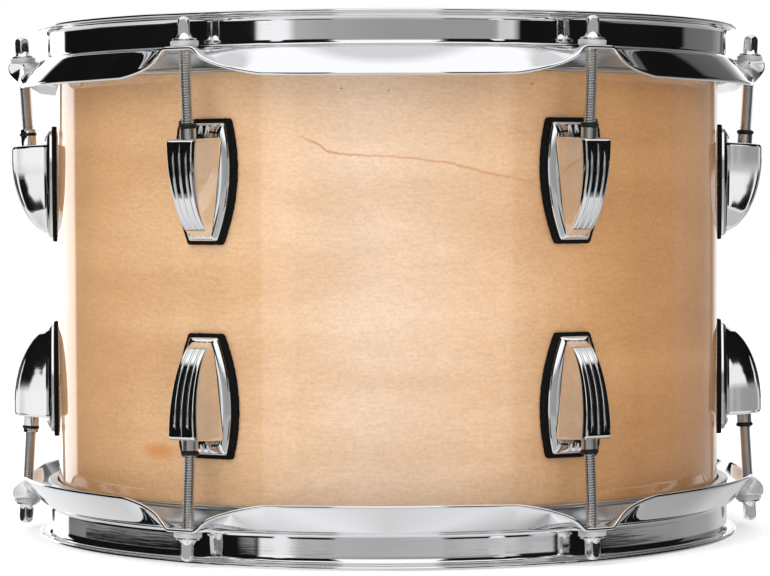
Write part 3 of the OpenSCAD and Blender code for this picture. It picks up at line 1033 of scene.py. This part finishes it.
def bevel_rib(s):
    """A small half-round rib that runs down the bevel above the cut."""
    rows = []
    length = 8
    for k in range(length + 1):
        t = k / length
        z = 63.4 + 3.7 * t
        height = 5.75 - 1.75 * t
        size = RIB_HEIGHT * math.sqrt(max(0.02, 1 - (2 * t - 1) ** 6))
        row = []
        for n in range(9):
            a = math.pi * n / 8
            row.append(on_shell(height + size * math.sin(a), s + size * 1.2 * math.cos(a), z))
        row.append(on_shell(height - 0.5, s - size, z))
        row.append(on_shell(height - 0.5, s + size, z))
        rows.append(row)
    return grid(rows, wrap_columns=True, cap=True)


def make_lug(side, i):
    """One casing: its base and bevel ribs, and the ridge with a hole for the nut."""
    matrix = lug_matrix(side, i)
    ridge = shape("lug_ridge", *ridge_part(), matrix, 32)
    hole = moved(cylinder(NUT_R + 0.22, -44, -30), ROD_IN_LUG)
    cut_out(ridge, shape("lug_tool", *hole, matrix))
    ribs = [bevel_rib(s) for s in (-RIB_SPREAD, 0, RIB_SPREAD)]
    base = shape(f"{side}_casing_{i}", *join(base_part(), *ribs), matrix, 32)
    lug = merge(base, ridge)
    dress(lug, "chrome_casting", "drum", f"{side}_lug_{i}")


def merge(target, other):
    """Adds another mesh object to the target, and removes it."""
    bm = bmesh.new()
    bm.from_mesh(target.data)
    bm.from_mesh(other.data)
    bpy.data.objects.remove(other)
    bm.to_mesh(target.data)
    bm.free()
    return target


# ---- vent ----

def make_vent():
    """The air vent's eyelet, at the back of the shell."""
    outer = SHELL_R + 0.9
    inner = SHELL_R - SHELL_T - 1.2
    section = [
        (4.2, inner), (7.5, inner), (7.5, inner + 0.6), (5.0, inner + 0.75), (5.0, SHELL_R + 0.05),
        (8.0, SHELL_R + 0.05), (7.7, outer - 0.2), (5.4, outer), (4.2, outer - 0.5),
    ]
    quarter = math.radians(90)
    to_back = Matrix.Rotation(quarter, 4, "Z") @ Matrix.Rotation(quarter, 4, "Y")
    verts, faces = lathe(rounded(section, 0.5), 64, closed=True)
    vent = shape("vent_eyelet", verts, faces, side_matrix("batter") @ to_back)
    dress(vent, "chrome_plate", "drum", "vent_grommet")


# ---- what stays as CAD ----

def dress_cad_nodes():
    """Materials for the CAD nodes that stay in view."""
    slots = {row["node"]: row["material_slot"] for row in frame["record"]["subparts"]}
    for name, node in frame["nodes"].items():
        node.data.materials.clear()
        node.data.materials.append(MATERIALS[slots[name]])


# ---- camera, floor and light ----

SENSOR = 36.0
LENS = 135.0795
DISTANCE = 1314.3
CAMERA_RISE = 36.24
CAMERA_TURN = math.radians(-0.3)
PITCH_DOWN = math.radians(2.872)
ROLL = math.radians(0.2)
YAW = 0.0009
SHIFT_Y = 0.074

BLACK_CARD = (0.006, 0.006, 0.006)


def make_camera():
    """The photo's view: from the front, a little above the drum's middle and tipped down."""
    data = bpy.data.cameras.new("camera")
    data.sensor_width = SENSOR
    data.lens = LENS
    data.shift_y = SHIFT_Y
    data.clip_start = 0.05
    data.clip_end = 20
    camera = bpy.data.objects.new("camera", data)
    bpy.context.scene.collection.objects.link(camera)
    orbit = Matrix.Rotation(CAMERA_TURN, 4, "Z")
    place = Matrix.Translation((0, -DISTANCE * MM, (MID_Z + CAMERA_RISE) * MM))
    aim = Matrix.Rotation(YAW, 4, "Z") @ Matrix.Rotation(math.radians(90) - PITCH_DOWN, 4, "X")
    camera.matrix_world = orbit @ place @ aim @ Matrix.Rotation(-ROLL, 4, "Z")
    bpy.context.scene.camera = camera


def make_floor():
    """A wide round floor in metres, just below the drum. Polished surfaces don't reflect it."""
    floor_z = -0.0002
    turns = [2 * math.pi * k / 64 for k in range(64)]
    rows = []
    for radius in (0.001, 0.6, 1.5, 3.0, 6.0):
        rows.append([(radius * math.cos(a), radius * math.sin(a), floor_z) for a in turns])
    verts, faces = grid(rows, wrap_columns=True)
    floor = shape("floor", verts, faces, Matrix.Identity(4))
    floor.data.materials.append(material(
        "pale_floor", (0.93, 0.93, 0.93), 0.9, Emission_Color=(1, 1, 1, 1), Emission_Strength=0.3))
    floor.visible_glossy = False


def make_light(name, place, target, size, power):
    """An area light that neither the camera nor polished surfaces show."""
    data = bpy.data.lights.new(name, "AREA")
    data.shape = "RECTANGLE"
    data.size = size[0]
    data.size_y = size[1]
    data.energy = power
    light = bpy.data.objects.new(name, data)
    bpy.context.scene.collection.objects.link(light)
    light.location = place
    light.rotation_mode = "QUATERNION"
    light.rotation_quaternion = (Vector(target) - Vector(place)).to_track_quat("-Z", "Y")
    light.visible_glossy = False
    light.visible_camera = False


class Room(Nodes):
    """The room that polished surfaces reflect, by angles in degrees. A shade over 1 is a light."""

    def __init__(self, tree):
        super().__init__(tree)
        x, y, z = self.split(self.add("ShaderNodeTexCoord").outputs["Generated"])
        self.around = self.math("ADD", self.math("DIVIDE", self.turn(x, y), 2 * math.pi), 0.5)
        self.rise = self.math("ADD", self.math("DIVIDE", self.math("ARCSINE", z), math.pi), 0.5)

    def round_it(self, *pairs):
        """A shade that changes round the room."""
        return self.ramp(self.around, turn_stops(*pairs))

    def up_it(self, *pairs):
        """A shade that changes from the floor to the ceiling."""
        return self.ramp(self.rise, rise_stops(*pairs))

    def border(self, softness, *pairs):
        """Zero below a border whose height in degrees changes round the room, one above it."""
        height = self.round_it(*[(way, (degrees + 90) / 180) for way, degrees in pairs])
        return self.math("ADD", self.past(self.rise, height, softness / 180), 0.5, clamp=True)

    def between(self, factor, a, b):
        """The first shade where the factor is zero, the second where it is one."""
        return self.mix("MIX", factor, a, b)


def upper_room(room):
    """Dark side walls and a grey front at the drum's level, under a light ceiling."""
    level = room.round_it(
        (-151, 2.2), (-137, 2.0), (-135.5, 0.006), (-43.5, 0.006), (-42, 1.0), (-32, 0.95),
        (-30, 0.46), (-18, 0.38), (0, 0.33), (35, 0.33), (36.5, 0.62), (41.5, 0.66), (43, 0.006),
        (114, 0.006), (117, 0.14), (138, 0.17), (148, 0.34), (151, 0.05), (154, 0.30), (160, 1.1),
    )
    high = room.round_it((-151, 1.3), (-149, 0.006), (134, 0.006), (136, 0.09), (150, 0.13), (160, 0.6))
    walls = room.between(room.up_it((14, 0.0), (17, 1.0)), level, high)
    ceiling = room.round_it(
        (-160, 0.93), (-110, 0.9), (-90, 1.08), (90, 1.08), (110, 0.75), (135, 0.5), (160, 0.9))
    over_walls = room.border(
        5, (-170, 0), (-153, 40), (-137, 50), (-120, 47), (-60, 45), (-44, 36), (-40, 9), (35, 9),
        (43, 36), (60, 45), (110, 45), (136, 45), (152, 32), (165, 14), (175, 0))
    upper = room.between(over_walls, walls, ceiling)
    return room.between(room.up_it((73, 0.0), (77, 1.0)), upper, (0.72, 0.72, 0.72))


def floor_shade(room):
    """The floor between the walls and the part that is steeply below the drum."""
    return room.round_it(
        (-170, 1.0), (-116, 0.62), (-80, 0.72), (-60, 0.88), (-34, 0.85), (-29, 0.47), (0, 0.44),
        (38, 0.56), (56, 0.56), (60, 0.88), (72, 0.88), (76, 0.04), (82, 0.18), (100, 0.28),
        (135, 0.36), (150, 0.6))


def foot_of_walls(room):
    """A narrow band along the side walls' foot, as a shade and where it shows."""
    grey = room.round_it(
        (-134, 0.2), (-110, 0.26), (-50, 0.22), (-44, 0.3), (56, 0.3), (76, 0.26), (100, 0.3), (112, 0.3))
    over_black = room.border(
        0.16, (-180, -6.95), (-123, -6.95), (-121, -6.5), (-101, -6.5), (-81, -6.62), (-49, -6.77),
        (-44, -6.9), (56, -6.9), (60, -6.64), (82, -6.64), (100, -6.8), (112, -6.95), (180, -6.95))
    sides = room.round_it(
        (-136, 0.0), (-135, 1.0), (-76, 1.0), (-72, 0.0), (-50, 0.0), (-49, 1.0), (-45, 1.0),
        (-44, 0.0), (72, 0.0), (76, 1.0), (110, 1.0), (116, 0.0))
    heights = room.up_it((-7.3, 0.0), (-7.2, 1.0), (-6.2, 1.0), (-6.0, 0.0))
    return room.between(over_black, BLACK_CARD, grey), room.math("MULTIPLY", sides, heights)


def wedge_cards(room):
    """Black cards with slanted edges at both sides of the front, as a shade and where it shows."""
    aside = room.math("MULTIPLY", room.math("ABSOLUTE", room.math("SUBTRACT", room.around, 0.5)), 360)
    reach = room.up_it(*[(height, width / 90) for height, width in (
        (-17.3, 17), (-16.5, 35), (-11, 33.2), (-4, 31.8), (0, 31.8), (3, 32.8), (7, 34), (10, 35.2),
        (13, 40),
    )])
    inside = room.math("SUBTRACT", room.math("MULTIPLY", reach, 90), aside)
    inside = room.math("ADD", room.math("MULTIPLY", inside, 2), 0.5, clamp=True)
    outside = room.math("SUBTRACT", aside, 37.5, clamp=True)
    shade = room.between(room.math("MAXIMUM", inside, outside), (0.92, 0.92, 0.92), BLACK_CARD)
    ways = room.round_it(
        (-48, 0.0), (-47, 1.0), (-18.5, 1.0), (-17.5, 0.0), (17.5, 0.0), (18.5, 1.0), (47, 1.0), (48, 0.0))
    heights = room.up_it(
        (-17.64, 0.0), (-16.56, 1.0), (-7.992, 1.0), (-7.2, 0.0), (3.96, 0.0), (5.04, 1.0), (44.1, 1.0),
        (45.9, 0.0))
    return shade, room.math("MULTIPLY", ways, heights)


def make_world():
    """White for the camera and for matt surfaces. Only polished surfaces reflect the room."""
    world = bpy.data.worlds.new("studio")
    bpy.context.scene.world = world
    world.use_nodes = True
    room = Room(world.node_tree)
    over_floor = room.border(
        2, (-170, -5), (-116, -9), (-112, -13), (-78, -14), (-76, -32), (-58, -32), (-56, -14),
        (-45, -14), (-42, -6), (56, -6), (58, -32), (76, -32), (78, -5.5), (170, -5))
    seen = room.between(over_floor, floor_shade(room), upper_room(room))
    foot, foot_place = foot_of_walls(room)
    seen = room.between(foot_place, seen, foot)
    steep_floor = room.round_it(
        (-170, 0.9), (-120, 0.62), (-60, 0.88), (0, 0.68), (60, 0.80), (120, 0.38), (150, 0.42), (170, 0.7))
    seen = room.between(room.border(10, (-170, -32), (170, -32)), steep_floor, seen)
    wedge, wedge_place = wedge_cards(room)
    seen = room.between(wedge_place, seen, wedge)

    glossy = room.add("ShaderNodeLightPath").outputs["Is Glossy Ray"]
    background = room.add("ShaderNodeBackground")
    output = room.add("ShaderNodeOutputWorld")
    room.link(room.between(glossy, (1.0, 1.0, 1.0), seen), background.inputs["Color"])
    room.link(background.outputs[0], output.inputs[0])


def make_studio():
    make_camera()
    make_floor()
    make_world()
    make_light("key", (-1.1, -1.4, 1.5), (0, 0, 0.1), (1.2, 1.2), 14)
    make_light("fill", (1.3, -1.2, 0.9), (0, 0, 0.1), (1.0, 1.0), 4)
    bpy.context.scene.view_settings.view_transform = "Standard"


# ---- the drum ----

make_studio()
dress_cad_nodes()
for side in SIDES:
    make_hoop(side)
    make_flesh_hoop(side)
    make_head(side)
    make_washers(side)
    make_rings(side)
    make_gaskets(side)
    for i in LUGS:
        make_rod(side, i)
        make_lug(side, i)
        make_nut(side, i)
make_vent()
